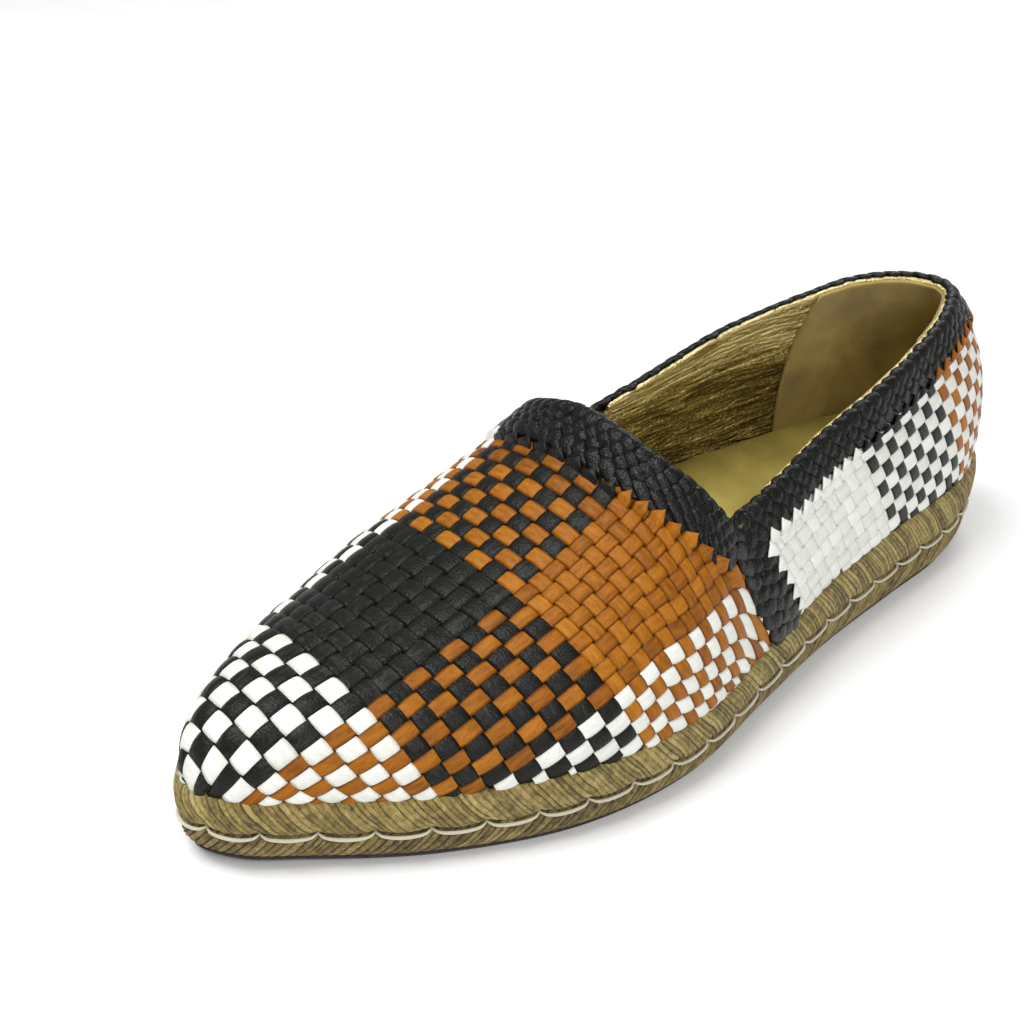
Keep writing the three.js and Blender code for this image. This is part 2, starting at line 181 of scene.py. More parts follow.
def material(name, rough, metal=0.0, sheen=0.0, specular=0.5):
    """A new material. Returns it, a function that adds a node with its inputs wired or set, and a function
    that wires an input of its shader."""
    m = bpy.data.materials.new(name)
    m.use_nodes = True
    tree = m.node_tree
    shader = tree.nodes["Principled BSDF"]
    for key, value in (("Roughness", rough), ("Metallic", metal), ("Sheen Weight", sheen),
                       ("Specular IOR Level", specular)):
        shader.inputs[key].default_value = value

    def add(kind, wires, out=0, **options):
        made = tree.nodes.new("ShaderNode" + kind)
        for key, value in options.items():
            setattr(made, key, value)
        for key, value in wires.items():
            if isinstance(value, bpy.types.NodeSocket):
                tree.links.new(value, made.inputs[key])
            else:
                made.inputs[key].default_value = value
        return made.outputs[out]

    def wire(key, value):
        tree.links.new(value, shader.inputs[key])

    return m, add, wire


def shades(add, factor, stops):
    """Colour ramp over a factor; stops are (place, red, green, blue) in linear light."""
    ramp = add("ValToRGB", {"Fac": factor}).node
    while len(ramp.color_ramp.elements) < len(stops):
        ramp.color_ramp.elements.new(.5)
    for element, (place, *rgb) in zip(ramp.color_ramp.elements, stops):
        element.position = place
        element.color = (*rgb, 1)
    return ramp.outputs[0]


def noise(add, vector, scale, detail=2.0, rough=.5, twist=0.0):
    """Layered noise: detail counts the layers, each finer one weaker by rough, and twist bends them."""
    return add("TexNoise", {"Vector": vector, "Scale": scale, "Detail": detail, "Roughness": rough,
                            "Distortion": twist})


def times_plus(add, a, b, c):
    """a times b, plus c."""
    return add("Math", {0: a, 1: b, 2: c}, operation="MULTIPLY_ADD")


def bump(add, wire, height, strength, distance):
    """Tilts the shader's normal with the slope of a height, whose full step is distance, in metres."""
    wire("Normal", add("Bump", {"Height": height, "Strength": strength, "Distance": distance}))


def jute(name, dark, mid, light):
    """Twisted bast fibre: fine hairs along each strand, from noise drawn out along the UV, with blotches."""
    m, add, wire = material(name, .93, sheen=.12, specular=.25)
    uv = add("TexCoord", {}, out=2)
    place = add("TexCoord", {}, out=3)
    tone = add("Attribute", {}, out=2, attribute_name="tone")
    hairs = noise(add, add("Mapping", {"Vector": uv, "Scale": (5.0, 1.1, 1)}), 1.0, 5.0, .75, .8)
    blotch = noise(add, place, 520.0, 4.0, .65)
    tall = add("Math", {0: hairs, 1: blotch}, operation="ADD")
    # the tone attribute holds a random tone for each strand, less the painted shade of the grooves between
    # strands
    mixed = add("Math", {0: tall, 1: tone}, operation="ADD")
    mixed = add("Math", {0: mixed, 1: .5}, operation="MULTIPLY")
    wire("Base Color", shades(add, mixed, [(.32, *dark), (.49, *mid), (.64, *light)]))
    bump(add, wire, tall, .95, .0008)
    return m


def strands(per, around, low, high, profile, lean, pitch, deep, seed, edge=None):
    """Side of a rope layer. A profile of (share of height, inwards) goes round the outline, and the surface
    is raised in leaning half-round strands: the height over the groove is the root of one minus the square
    of the place across the strand. The columns of the mesh lean with the strands, per of them to a strand.
    Flat rings close the top and the bottom. edge(arc) lifts the lower edge."""
    rng = np.random.default_rng(seed)
    line, out, loop = outline(outline_points)
    number = round(loop / pitch)
    count = number * per
    twist = np.arange(count) / per
    wander = sum(a * np.sin(2 * np.pi * k * twist / number + f) for a, k, f in zip(
        rng.uniform(.05, .16, 9), rng.integers(7, 60, 9), rng.uniform(0, 6.3, 9)))
    h = np.linspace(0, 1, around)
    y_near = np.interp(twist * loop / number, np.arange(outline_points) * loop / outline_points, line[:, 1])
    t = np.clip(station(y_near), 0, 1)[:, None]
    z = low(t) + (high(t) - low(t)) * h
    arc = (twist[:, None] - lean * (z - z.mean()) / pitch - wander[:, None]) * loop / number
    at = arc / loop * outline_points % outline_points
    i, f = at.astype(int) % outline_points, (at % 1)[..., None]
    after = (i + 1) % outline_points
    xy = line[i] * (1 - f) + line[after] * f
    n = out[i] * (1 - f) + out[after] * f
    t = np.clip(station(xy[..., 1]), 0, 1)
    z0, z1 = low(t) + (edge(arc) if edge else 0), high(t)
    z = z0 + (z1 - z0) * h
    which = np.floor(twist).astype(int) % number
    across = 2 * (twist % 1) - 1
    size = rng.uniform(.6, 1.15, number)[which]
    fade = np.clip(np.minimum(h, 1 - h) * 7, .3, 1)
    raised = (deep * (np.sqrt(np.maximum(1 - across**2, 0)) - 1) * size)[:, None] * fade
    inward = np.interp(h, *np.array(profile).T) - raised
    side = np.concatenate([xy - n * inward[..., None], z[..., None]], -1)
    shrink = np.array([.93, .75, .45])

    def flat(ring, height, factors):
        spot = heart + (ring[:, None, :2] - heart) * factors[None, :, None]
        return np.concatenate([spot, height(station(spot[..., 1]))[..., None]], -1)

    sheet = np.concatenate([flat(side[:, 0], low, shrink[::-1]), side, flat(side[:, -1], high, shrink)], 1)
    rings = sheet.shape[1]
    points, quads, caps = layer_faces(sheet, *(float(height(station(heart[1]))) for height in (low, high)))
    ends = ((0, 0), (len(shrink), len(shrink)))
    uv = np.stack([np.repeat(twist[:, None], rings, 1), np.pad(z * 1.1 + arc * .02, ends, mode="edge")], -1)
    uv[..., 1] += rng.uniform(0, 60, number)[which][:, None]
    # painted shade: each strand's colour darkens towards its edges, in the grooves between strands, by a
    # random depth for each strand
    groove = np.abs(across) ** 5 * rng.uniform(.05, .60, number)[which]
    tones = rng.uniform(-.17, .17, number)[which] - groove
    uv = np.r_[uv.reshape(-1, 2), [[0, 0], [0, 0]]]
    return points, quads, caps, uv, np.r_[np.repeat(tones, rings), [0, 0]]


clear = .3
stitch_pitch, stitch_lift, stitch_curve = 11.75, 1.25, .75
# painted shade: the lower layer is the same cord as the upper one, coloured darker
jute_low = jute("jute low", (.040, .025, .007), (.235, .166, .046), (.45, .35, .13))


def scallop(arc):
    """Each stitch draws the edge up: a round-bottomed wave with sharp tops."""
    return stitch_lift * (1 - np.abs(np.sin(np.pi * arc / stitch_pitch)) ** stitch_curve)


points, quads, caps, uv, tone = strands(
    8, 16, lambda t: sole_bottom(t) + tread + clear, sole_middle,
    [[0, 2.9], [.12, 1.9], [.35, 1.0], [.7, .75], [1, 1.5]], lean=.85, pitch=1.95, deep=.58, seed=4)
lower_rope = make("jute_rope_lower", points, quads, caps, uv, tone, materials=[jute_low])
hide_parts("jute_lower")

# Rope sole, upper layer
# The last turn of the same cord, standing slightly proud; its strands lean the other way,
# and its lower edge is drawn up at every stitch.
jute_high = jute("jute high", (.085, .056, .016), (.33, .243, .064), (.58, .455, .165))
points, quads, caps, uv, tone = strands(
    6, 16, lambda t: sole_middle(t) + .02, sole_top,
    [[0, 1.6], [.10, .55], [.30, .05], [.62, .0], [.85, .45], [1, 1.55]],
    lean=-.80, pitch=1.50, deep=.30, seed=7, edge=scallop)
upper_rope = make("jute_rope_upper", points, quads, caps, uv, tone, materials=[jute_high])
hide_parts("jute_upper")

# Sole stitching
# One off-white cotton thread, two plies twisted, that hangs in a shallow loop under the upper layer
# from one stitch hole to the next.
loop_length = outline(8)[2]
stitches = round(loop_length / stitch_pitch)
steps = 16


def thread_loops():
    """A section of six points swept along each loop, thickest in its middle. The loop hangs as a flattened
    half sine, sunk a little into the rope, and its ends dive inwards to the stitch holes."""
    per, sides, sunk = loop_length / stitches, 6, .35
    a = np.linspace(-.04, 1.04, steps)[None] * per + np.arange(stitches)[:, None] * per
    line, out, _ = outline(outline_points)
    at = (a / loop_length * outline_points) % outline_points
    i, f = at.astype(int), (at % 1)[..., None]
    p = line[i] * (1 - f) + line[(i + 1) % outline_points] * f
    n = out[i]
    u = np.linspace(0, 1, steps)[None]
    dive = np.clip(np.abs(2 * u - 1) * 1.03, 0, 1) ** 9 * 2.2
    t = np.clip(station(p[..., 1]), 0, 1)
    z = sole_middle(t) + stitch_lift * (1 - np.sin(np.pi * np.clip(u, .02, .98)) ** stitch_curve) - sunk
    c = np.concatenate([p - n * (sunk + dive)[..., None], z[..., None]], -1)
    way = np.gradient(c, axis=1)
    way /= np.linalg.norm(way, axis=-1)[..., None]
    side = np.concatenate([n, np.zeros(n.shape[:2] + (1,))], -1)
    side -= way * np.sum(side * way, -1)[..., None]
    side /= np.linalg.norm(side, axis=-1)[..., None]
    up = np.cross(side, way)
    f = np.arange(sides) * np.pi / (sides / 2)
    r = (.20 + .22 * np.sin(np.pi * u) ** .7)[..., None, None]
    pts = c[:, :, None] + r * (np.cos(f)[:, None] * side[:, :, None] + np.sin(f)[:, None] * up[:, :, None])
    base = tube_faces(steps, sides)
    first = np.arange(stitches)[:, None] * steps * sides
    quads = (first[..., None] + base).reshape(-1, 4)
    caps = np.r_[first + np.arange(sides)[::-1], first + (steps - 1) * sides + np.arange(sides)]
    uv = np.stack(np.broadcast_arrays(a[..., None], f), -1)
    return pts, quads, caps, uv


cotton, add, wire = material("cotton thread", .85, sheen=.2)
uv_way = add("Mapping", {"Vector": add("TexCoord", {}, out=2), "Rotation": (0, 0, .6)})
ply = add("TexWave", {"Vector": uv_way, "Scale": 1.6, "Distortion": .6})
# painted shade: the colour darkens where the wave dips, in the grooves between the twisted plies
wire("Base Color", shades(add, ply, [(0, .58, .52, .36), (.6, .84, .79, .62)]))
bump(add, wire, ply, .6, .0002)
points, quads, caps, uv = thread_loops()
thread = make("sole_thread", points, quads, [caps], uv, materials=[cotton])

# Outsole
# Thin dark rubber sheet glued under the rope, cut a little inside it, with a fine cross-cut grip below.
rubber, add, wire = material("outsole rubber", .72, specular=.35)
place = add("TexCoord", {}, out=3)
grit = noise(add, place, 900.0, 4.0)
wire("Base Color", shades(add, grit, [(.3, .020, .012, .013), (.75, .060, .038, .038)]))
grip = add("TexWave", {"Vector": add("Mapping", {"Vector": place, "Rotation": (0, 0, .785)}), "Scale": 110.0})
cross = add("TexWave", {"Vector": add("Mapping", {"Vector": place, "Rotation": (0, 0, -.785)}),
                        "Scale": 110.0})
both = times_plus(add, grip, cross, grit)
bump(add, wire, both, .5, .0004)


def sole_plate():
    """Rounded edge, as (inwards, share of the thickness), carried round the outline; rings that shrink
    towards the heart close both faces."""
    line, out, _ = outline(480)
    profile = [(4.1, 0), (3.5, .04), (3.15, .28), (3.05, .6), (3.1, .86), (3.5, 1)]
    shrink = (.9, .6, .3)
    below, above = [(*profile[0], f) for f in shrink[::-1]], [(*profile[-1], f) for f in shrink]
    rings = below + [(*p, 1) for p in profile] + above
    sheet = []
    for inward, share, f in rings:
        xy = heart + (line - out * inward - heart) * f
        sheet.append(np.c_[xy, sole_bottom(station(xy[:, 1])) + tread * share])
    return layer_faces(np.stack(sheet, 1), 0.0, tread)


points, quads, caps = sole_plate()
plate = make("sole_plate", points, quads, caps, materials=[rubber])
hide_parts("outsole")

# Upper lining
# Gold-finished leather inside the quarters and cloth-backed leather in the vamp, cut to the last.
# The last is the wooden foot the upper is pulled over; every soft piece is laid on its surface.

# along the shoe: height of the last's ridge, roundness of its sections, height of the top line
ridge_table = [[0, 1.08], [.12, 1.11], [.25, 1.21], [.40, 1.11], [.52, 1.10], [.62, .815],
               [.72, .622], [.82, .518], [.90, .508], [1, .508]]
round_table = np.array([[0, 2.0], [.3, 2.1], [.5, 1.4], [.62, 2.2], [.75, 2.44], [1, 2.45]])
collar_table = [[0, .947], [.10, 1], [.22, .933], [.34, .84], [.46, .727], [.52, .687], [1, .687]]

# throat in plan, thickness of the wall, and how far the last's foot line lies inside the foot bed outline
throat_half, throat_aside = .33 * ball_width, -.01 * ball_width
throat_deep, throat_round = .0736 * length, .62
wall, feather = 1.8, 2.0
line, out, _ = outline(1440)
foot = line - out * feather
toe_at = int(np.argmin(foot[:, 1]))
last_end = station(foot[toe_at, 1])
foot_sides = {1: foot[:toe_at + 1], -1: np.r_[foot[:1], foot[toe_at:][::-1]]}


def half_width(side, t):
    """Half width of the foot line on one side of the shoe, outer 1 and inner -1."""
    along = foot_sides[side]
    return np.interp(t, np.maximum.accumulate(station(along[:, 1])), along[:, 0])


def last_point(fx, fy, angle):
    """Point of the last over a foot point: a rounded section (superellipse) rises from the foot line, angle
    0, to the ridge, a quarter turn. Sections stand across the shoe, and fan out round the heel. The ridge
    falls to the tip of the toe on an arc, and the heel bulges a little at the middle of its height."""
    t = station(fy)
    base = sole_top(t)
    k = np.clip((t - .87) / (last_end - .87), 0, 1)
    rise = (smooth(ridge_table, t) * collar_height - base) * np.maximum(1 - k**2.25, 0) ** (1 / 2.25)
    n = np.interp(t, round_table[:, 0], round_table[:, 1])
    rx = (half_width(1, t) + half_width(-1, t)) / 2 - .033 * ball_width * np.clip((t - .42) / .58, 0, 1)
    ry = np.minimum(fy, length * .345)
    c = np.maximum(np.cos(angle), 0) ** (2 / n)
    s = np.maximum(np.sin(angle), 0) ** (2 / n)
    dx, dy = fx - rx, fy - ry
    far = np.hypot(dx, dy) + 1e-9
    bulge = 1.2 * np.sin(np.pi * np.clip(rise * s / 45, 0, 1)) * np.clip(1 - t / .2, 0, 1)
    return np.stack([rx + dx * c + dx / far * bulge, ry + dy * c + dy / far * bulge, base + rise * s], -1)


def walk(lines, d):
    """Points at the distances d along each polyline of an array."""
    far = np.concatenate([np.zeros((len(lines), 1)), np.cumsum(
        np.linalg.norm(np.diff(lines, axis=1), axis=2), axis=1)], 1)
    out = np.empty((len(lines), len(d), 3))
    for i, (s, p) in enumerate(zip(far, lines)):
        for k in range(3):
            out[i, :, k] = np.interp(d, s, p[:, k])
    return out, far[:, -1]


# vamp chart: q is the distance forwards along the ridge, p the distance down the side from it; the ridge's
# points crowd towards the tip of the toe, where it falls steeply
walk_t = last_end - .00003 - (last_end - .30) * np.linspace(1, 0, 2400) ** 1.6
ridge = last_point(half_width(1, walk_t), length / 2 - walk_t * length, np.pi / 2)
walk_q = np.r_[0, np.cumsum(np.linalg.norm(np.diff(ridge[:, 1:], axis=0), axis=1))]
walk_q -= np.interp(.5, walk_t, walk_q)
vamp_q = np.linspace(-50, walk_q[-1], 400)
vamp_p = np.linspace(-88, 88, 441)
vamp_t = np.interp(vamp_q, walk_q, walk_t)
down = np.linspace(np.pi / 2, 0, 140)[None]
vamp_chart = np.empty((len(vamp_q), len(vamp_p), 3))
for side in (1, -1):
    arcs = last_point(half_width(side, vamp_t)[:, None] + 0 * down,
                      (length / 2 - vamp_t * length)[:, None] + 0 * down, down + 0 * vamp_t[:, None])
    d = vamp_p[vamp_p >= 0]
    laid, ends = walk(arcs, d)
    laid[..., 2] -= np.maximum(d[None] - ends[:, None], 0)
    vamp_chart[:, vamp_p * side >= 0] = laid if side > 0 else laid[:, ::-1]

# quarter chart: s is the share of the way round the foot line from the heel, v the height up the wall
quarter_s = np.linspace(-.5, .5, 621)
quarter_v = np.linspace(-12, 62, 186)
k = quarter_s % 1 * len(foot)
i = np.floor(k).astype(int) % len(foot)
at = foot[i] * (1 - k % 1)[:, None] + foot[(i + 1) % len(foot)] * (k % 1)[:, None]
up = np.linspace(0, np.pi / 2, 140)[None]
quarter_chart, _ = walk(last_point(at[:, :1] + 0 * up, at[:, 1:] + 0 * up, up + 0 * at[:, :1]),
                        np.maximum(quarter_v, 0))
quarter_chart[..., 2] += np.minimum(quarter_v, 0)
foot_loop = np.linalg.norm(np.diff(np.r_[foot, foot[:1]], axis=0), axis=1).sum()


def outwards(chart):
    """Unit normals of a chart, from its two sets of neighbours, pointing away from the foot."""
    n = np.cross(np.gradient(chart, axis=0), np.gradient(chart, axis=1))
    n /= np.linalg.norm(n, axis=-1)[..., None] + 1e-12
    middle = chart[chart.shape[0] // 2, chart.shape[1] // 2]
    return n * np.sign(np.sum(n[chart.shape[0] // 2, chart.shape[1] // 2] * (middle - [0, middle[1], 30])))


vamp = (vamp_chart, outwards(vamp_chart), vamp_q, vamp_p)
quarter = (quarter_chart, outwards(quarter_chart), quarter_s, quarter_v)


def laid_on(chart, a, b, lift=0.0):
    """Point of a chart at (a, b), between its four neighbours, raised along the normal."""
    points, normals, rows, columns = chart
    i = np.clip((a - rows[0]) / (rows[1] - rows[0]), 0, len(rows) - 1.001)
    j = np.clip((b - columns[0]) / (columns[1] - columns[0]), 0, len(columns) - 1.001)
    u, v = (i % 1)[..., None], (j % 1)[..., None]
    i, j = i.astype(int), j.astype(int)

    def mix(x):
        return (x[i, j] * (1 - u) * (1 - v) + x[i + 1, j] * u * (1 - v)
                + x[i, j + 1] * (1 - u) * v + x[i + 1, j + 1] * u * v)

    n = mix(normals)
    n /= np.linalg.norm(n, axis=-1)[..., None] + 1e-12
    return mix(points) + n * np.asarray(lift)[..., None]


def in_opening(p, grow=0.0):
    """True where the foot goes in: behind the rounded throat line in plan, and above the top line."""
    share = np.clip(np.abs(p[..., 0] - throat_aside) / (throat_half + grow), 0, 1)
    curve = -(throat_deep + grow) * np.sqrt(np.maximum(1 - share ** (2 / throat_round), 0))
    edge = np.where(share < 1, curve, 1.0)
    return (p[..., 1] > edge) & (p[..., 2] > smooth(collar_table, station(p[..., 1])) * collar_height - grow)


# height of the top line above the foot line, all round
up_v = np.linspace(0, 61, 400)
high = laid_on(quarter, quarter_s[:, None] + 0 * up_v, up_v + 0 * quarter_s[:, None])
over = high[..., 2] > smooth(collar_table, station(high[..., 1])) * collar_height
top_v = np.where(over.any(1), up_v[over.argmax(1)], up_v[-1])


def sheet_of(outer, inner, uv):
    """Closed thin sheet between two grids of points: both faces and the four edges."""
    r, c = outer.shape[:2]
    i, j = np.meshgrid(np.arange(r - 1), np.arange(c - 1), indexing="ij")
    face = np.stack([i * c + j, i * c + j + 1, (i + 1) * c + j + 1, (i + 1) * c + j], -1).reshape(-1, 4)
    rim = np.concatenate([np.arange(c - 1), c - 1 + np.arange(r - 1) * c, r * c - 1 - np.arange(c - 1),
                          (r - 1 - np.arange(r - 1)) * c])
    rim2 = np.roll(rim, -1)
    n = r * c
    edge = np.stack([rim, rim + n, rim2 + n, rim2], -1)
    uv = uv.reshape(-1, 2)
    points = np.r_[outer.reshape(-1, 3), inner.reshape(-1, 3)]
    return points, np.r_[face, face[:, ::-1] + n, edge], np.r_[uv, uv]


gold, add, wire = material("gold leather", .3, metal=.88, specular=.6)
uv = add("TexCoord", {}, out=2)
place = add("TexCoord", {}, out=3)
creased = noise(add, add("Mapping", {"Vector": uv, "Scale": (.055, .42, 1)}), 1.0, 5.0, .52, 1.3)
short_way = add("Mapping", {"Vector": uv, "Scale": (.55, 1.0, 1)})
pebbles = add("TexVoronoi", {"Vector": short_way, "Scale": 1.1, "Randomness": 1.0}, feature="SMOOTH_F1")
fine = noise(add, place, 1300.0, 4.0, .7)
gold_mix = add("Math", {0: creased, 1: fine}, operation="ADD")
# painted highlight: the lining's colour is lighter on the upper part of the wall, rising between 24 and 35 mm
# up from the foot line
up_wall = add("SeparateXYZ", {"Vector": uv}, out=1)
painted_top_highlight = add("MapRange", {"Value": up_wall, 1: 24.0, 2: 35.0, 3: -.04, 4: .14})
gold_mix = times_plus(add, gold_mix, .5, painted_top_highlight)
wire("Base Color", shades(add, gold_mix, [(.40, .12, .088, .022), (.50, .32, .240, .068), (.61, .95, .80, .40)]))
wire("Roughness", times_plus(add, creased, .5, .07))
tall = times_plus(add, pebbles, .30, times_plus(add, fine, .22, creased))
bump(add, wire, tall, 1.0, .0024)

# quarter lining: from just below the foot line to just below the top line, and a little past both side seams
lining_end, hem, share = .226, 1.5, np.linspace(0, 1, 34)
s_line = np.linspace(-lining_end, lining_end, 260)
v_top = np.interp(s_line, quarter_s, top_v) - .6
v_grid = -hem + (v_top[:, None] + hem) * share[None]
s_grid = np.repeat(s_line[:, None], len(share), 1)
crinkle = .16 * np.sin(s_grid * 210 + 3 * np.sin(v_grid * .21))
crinkle *= np.sin(v_grid * .55 + 2 * np.sin(s_grid * 60))
points, quads, uv = sheet_of(laid_on(quarter, s_grid, v_grid, -.95),
                             laid_on(quarter, s_grid, v_grid, -wall + crinkle),
                             np.stack([s_grid * foot_loop, v_grid], -1))
quarter_lining = make("quarter_lining", points, quads, uv=uv, materials=[gold])

# vamp lining: columns follow the section angle from the outer foot line over the ridge to the inner one
angle = np.linspace(-np.pi / 2, np.pi / 2, 121)[:, None]
tip_t = last_end - .002


def under_vamp(t):
    """Points of the last at the shares t of the length, for each angle."""
    fx = np.where(angle >= 0, half_width(1, t), half_width(-1, t))
    return last_point(fx, length / 2 - t * length + 0 * fx, np.pi / 2 - np.abs(angle) + 0 * fx)


t_fine = np.linspace(.40, tip_t, 700)
open_part = in_opening(under_vamp(t_fine[None]), 1.6)
start = np.where(open_part.any(1), t_fine[-1 - open_part[:, ::-1].argmax(1)], .43)[:, None]
t_grid = start + (tip_t - start) * np.linspace(0, 1, 120)
skin = under_vamp(t_grid)
core = np.stack([0 * t_grid, length / 2 - t_grid * length + 4, sole_top(t_grid) + 4], -1)
inwards_to = core - skin
inwards_to /= np.linalg.norm(inwards_to, axis=-1)[..., None]
suede_cloth, add, wire = material("vamp lining", .9)
place = add("TexCoord", {}, out=3)
knit = noise(add, place, 1200.0, 3.0)
wire("Base Color", shades(add, knit, [(.3, .09, .062, .024), (.7, .17, .12, .05)]))
bump(add, wire, knit, .5, .0004)
points, quads, uv = sheet_of(skin + inwards_to * .95, skin + inwards_to * wall,
                             np.stack([t_grid * length, (np.pi / 2 - np.abs(angle) + 0 * t_grid) * 40], -1))
vamp_lining = make("vamp_lining", points, quads, uv=uv, materials=[suede_cloth])

# Heel grip
# A suede patch stuck over the lining round the back of the heel, so that the foot does not slip;
# its front edges slope forwards to the foot bed.
grip_suede, add, wire = material("heel grip suede", .95, sheen=.35, specular=.2)
place = add("TexCoord", {}, out=3)
nap = noise(add, place, 60.0, 5.0, twist=.4)
hair = noise(add, place, 2600.0)
wire("Base Color", shades(add, nap, [(.28, .19, .128, .028), (.5, .32, .228, .052), (.75, .47, .36, .10)]))
bump(add, wire, add("Math", {0: nap, 1: hair}, operation="ADD"), .35, .0006)
edge_s = .109 + .003 * np.sin(share * np.pi) - .003 * share
s_grid = np.linspace(-1, 1, 180)[:, None] * edge_s[None]
v_grid = -1.2 + (np.interp(s_grid, quarter_s, top_v) - .9 + 1.2) * share[None]
points, quads, uv = sheet_of(laid_on(quarter, s_grid, v_grid, -wall - .05),
                             laid_on(quarter, s_grid, v_grid, -wall - .85),
                             np.stack([s_grid * foot_loop, v_grid], -1))
heel_grip = make("heel_grip", points, quads, uv=uv, materials=[grip_suede])

# Foot bed
# A leather insole board laid inside the upper on the rope, slightly dished, with a fine grain.
bed_leather, add, wire = material("foot bed leather", .5, metal=.25)
place = add("TexCoord", {}, out=3)
cloud = noise(add, place, 45.0, 5.0, .6)
grain = noise(add, place, 1700.0, 3.0)
wire("Base Color", shades(add, cloud, [(.3, .27, .215, .045), (.55, .41, .325, .075), (.8, .50, .42, .12)]))
wire("Roughness", times_plus(add, cloud, .3, .36))
bump(add, wire, grain, .4, .0003)
ring, ring_out, _ = outline(360)
rim = ring - ring_out * (feather + wall + .35)
shrink = np.array([1, .985, .93, .8, .6, .4, .2])
xy = heart + (rim[:, None] - heart) * shrink[None, :, None]
board, rounded_rim, dish = 2.2, .25, .7 * (1 - shrink**4)
under_z = sole_top(station(xy[..., 1])) + clear
upper_face = np.concatenate([xy, (under_z + board - rounded_rim * (shrink > .99) - dish)[..., None]], -1)
lower_face = np.concatenate([xy, under_z[..., None]], -1)
heart_z = float(sole_top(station(heart[1]))) + clear
sheet = np.concatenate([lower_face[:, ::-1], upper_face], 1)
points, quads, caps = layer_faces(sheet, heart_z, heart_z + 1.5)
bed = make("foot_bed", points, quads, caps, materials=[bed_leather])
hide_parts("insole")

# Woven vamp
# Narrow leather straps, cut in black, tan and white and plaited over and under each other by hand
# on the last. Bands of eight straps of a colour run both ways, and make the check.


def strap_leather(name, stops, rough, vary, crinkle, specular, edge_darkening=.0):
    """Grained strap leather: a fine grain, creases, streaks along the strap from its UV, a tone for each
    strap, and a colour darker at the edges of each strap, by the last argument."""
    m, add, wire = material(name, rough, specular=specular)
    uv = add("TexCoord", {}, out=2)
    place = add("TexCoord", {}, out=3)
    tone = add("Attribute", {}, out=2, attribute_name="tone")
    streak = noise(add, add("Mapping", {"Vector": uv, "Scale": (.22, 1.1, 1)}), 1.0, 5.0, .65)
    grain = add("TexVoronoi", {"Vector": place, "Scale": 1900.0}, feature="F1")
    pores = noise(add, place, 800.0, 4.0)
    mix = times_plus(add, tone, vary, streak)
    # the colour is darker at the strap's edges and underneath
    off_middle = add("Math", {0: add("SeparateXYZ", {"Vector": uv}, out=1), 1: 1.5}, operation="SUBTRACT")
    off_middle = add("Math", {0: off_middle}, operation="ABSOLUTE")
    edge = add("MapRange", {"Value": off_middle, 1: 1.0, 2: 1.6, 3: 0.0, 4: edge_darkening})
    mix = add("Math", {0: mix, 1: edge}, operation="SUBTRACT")
    wire("Base Color", shades(add, mix, stops))
    wire("Roughness", times_plus(add, streak, .35, rough - .17))
    tall = add("Math", {0: grain, 1: pores}, operation="ADD")
    tall = times_plus(add, noise(add, place, 420.0, 5.0, .6, 1.0), crinkle, tall)
    bump(add, wire, tall, .4, .00025)
    return m


black_strap = strap_leather("black strap", [
    (.25, .0030, .0029, .0022), (.58, .0060, .0060, .0042), (.80, .034, .036, .030)],
    rough=.40, vary=.22, crinkle=1.0, specular=.18)
tan_strap = strap_leather("tan strap", [
    (.22, .14, .040, .002), (.5, .275, .090, .003), (.8, .40, .150, .010)],
    rough=.46, vary=.30, crinkle=.6, specular=.16, edge_darkening=.42)
white_strap = strap_leather("white strap", [
    (.2, .58, .58, .52), (.5, .69, .70, .65), (.8, .76, .77, .73)],
    rough=.55, vary=.22, crinkle=.0, specular=.25, edge_darkening=.16)
straps = [black_strap, tan_strap, white_strap]
BLACK, TAN, WHITE = 0, 1, 2


def strap(centre, half, lift, chart, thick=.62, crown=.17, across=7):
    """Points of one strap laid on a chart, ring by ring: centre and half are the chart coordinates of its
    middle line and the step to its edge. The top is a shallow arch, crown * (1 - w^2), whose edges turn down,
    and the underside is flat."""
    w = np.linspace(-1, 1, across)
    section = np.r_[crown * (1 - w**2) - .16 * np.abs(w) ** 8, -thick, -thick]
    w = np.r_[w, .96, -.96]
    a, b = (c[:, None] + h[:, None] * w for c, h in zip(centre, half))
    return laid_on(chart, a, b, lift[:, None] + section)


def join_straps(name, parts, materials):
    """Makes one piece of many bands, given as (points, colour, shift of the grain). The UV runs in
    millimetres along each band and from 0 to 4 round it, and each band has its tone."""
    points, quads, ends, uvs, tones, slots, end_slots = [], [], [], [], [], [], []
    start = 0
    rng = np.random.default_rng(11)
    for band, colour, shift in parts:
        n, m = band.shape[:2]
        far = np.r_[0, np.cumsum(np.linalg.norm(np.diff(band[:, m // 2], axis=0), axis=1))]
        points.append(band.reshape(-1, 3))
        quads.append(tube_faces(n, m) + start)
        ends.append(np.stack([np.arange(m)[::-1], (n - 1) * m + np.arange(m)]) + start)
        across = np.linspace(0, 4, m)
        uvs.append(np.stack(np.broadcast_arrays(far[:, None] + shift, across), -1).reshape(-1, 2))
        tones.append(np.full(n * m, rng.uniform(-.5, .5)))
        slots.append(np.full((n - 1) * m, colour))
        end_slots.append([colour, colour])
        start += n * m
    return make(name, np.concatenate(points), np.concatenate(quads), [np.concatenate(ends)],
                np.concatenate(uvs), np.concatenate(tones), np.concatenate(slots + end_slots), materials)


def runs(keep, least):
    """First and last index of each unbroken stretch of True that is long enough."""
    edge = np.flatnonzero(np.diff(np.r_[False, keep, False].astype(int)))
    return [(a, b - 1) for a, b in edge.reshape(-1, 2) if b - a >= least]


def pinch(wave):
    """Straps are squeezed where they dive and spread where they lie on top, in proportion to the wave."""
    return .915 + .065 * np.clip(wave, -.4, 1)


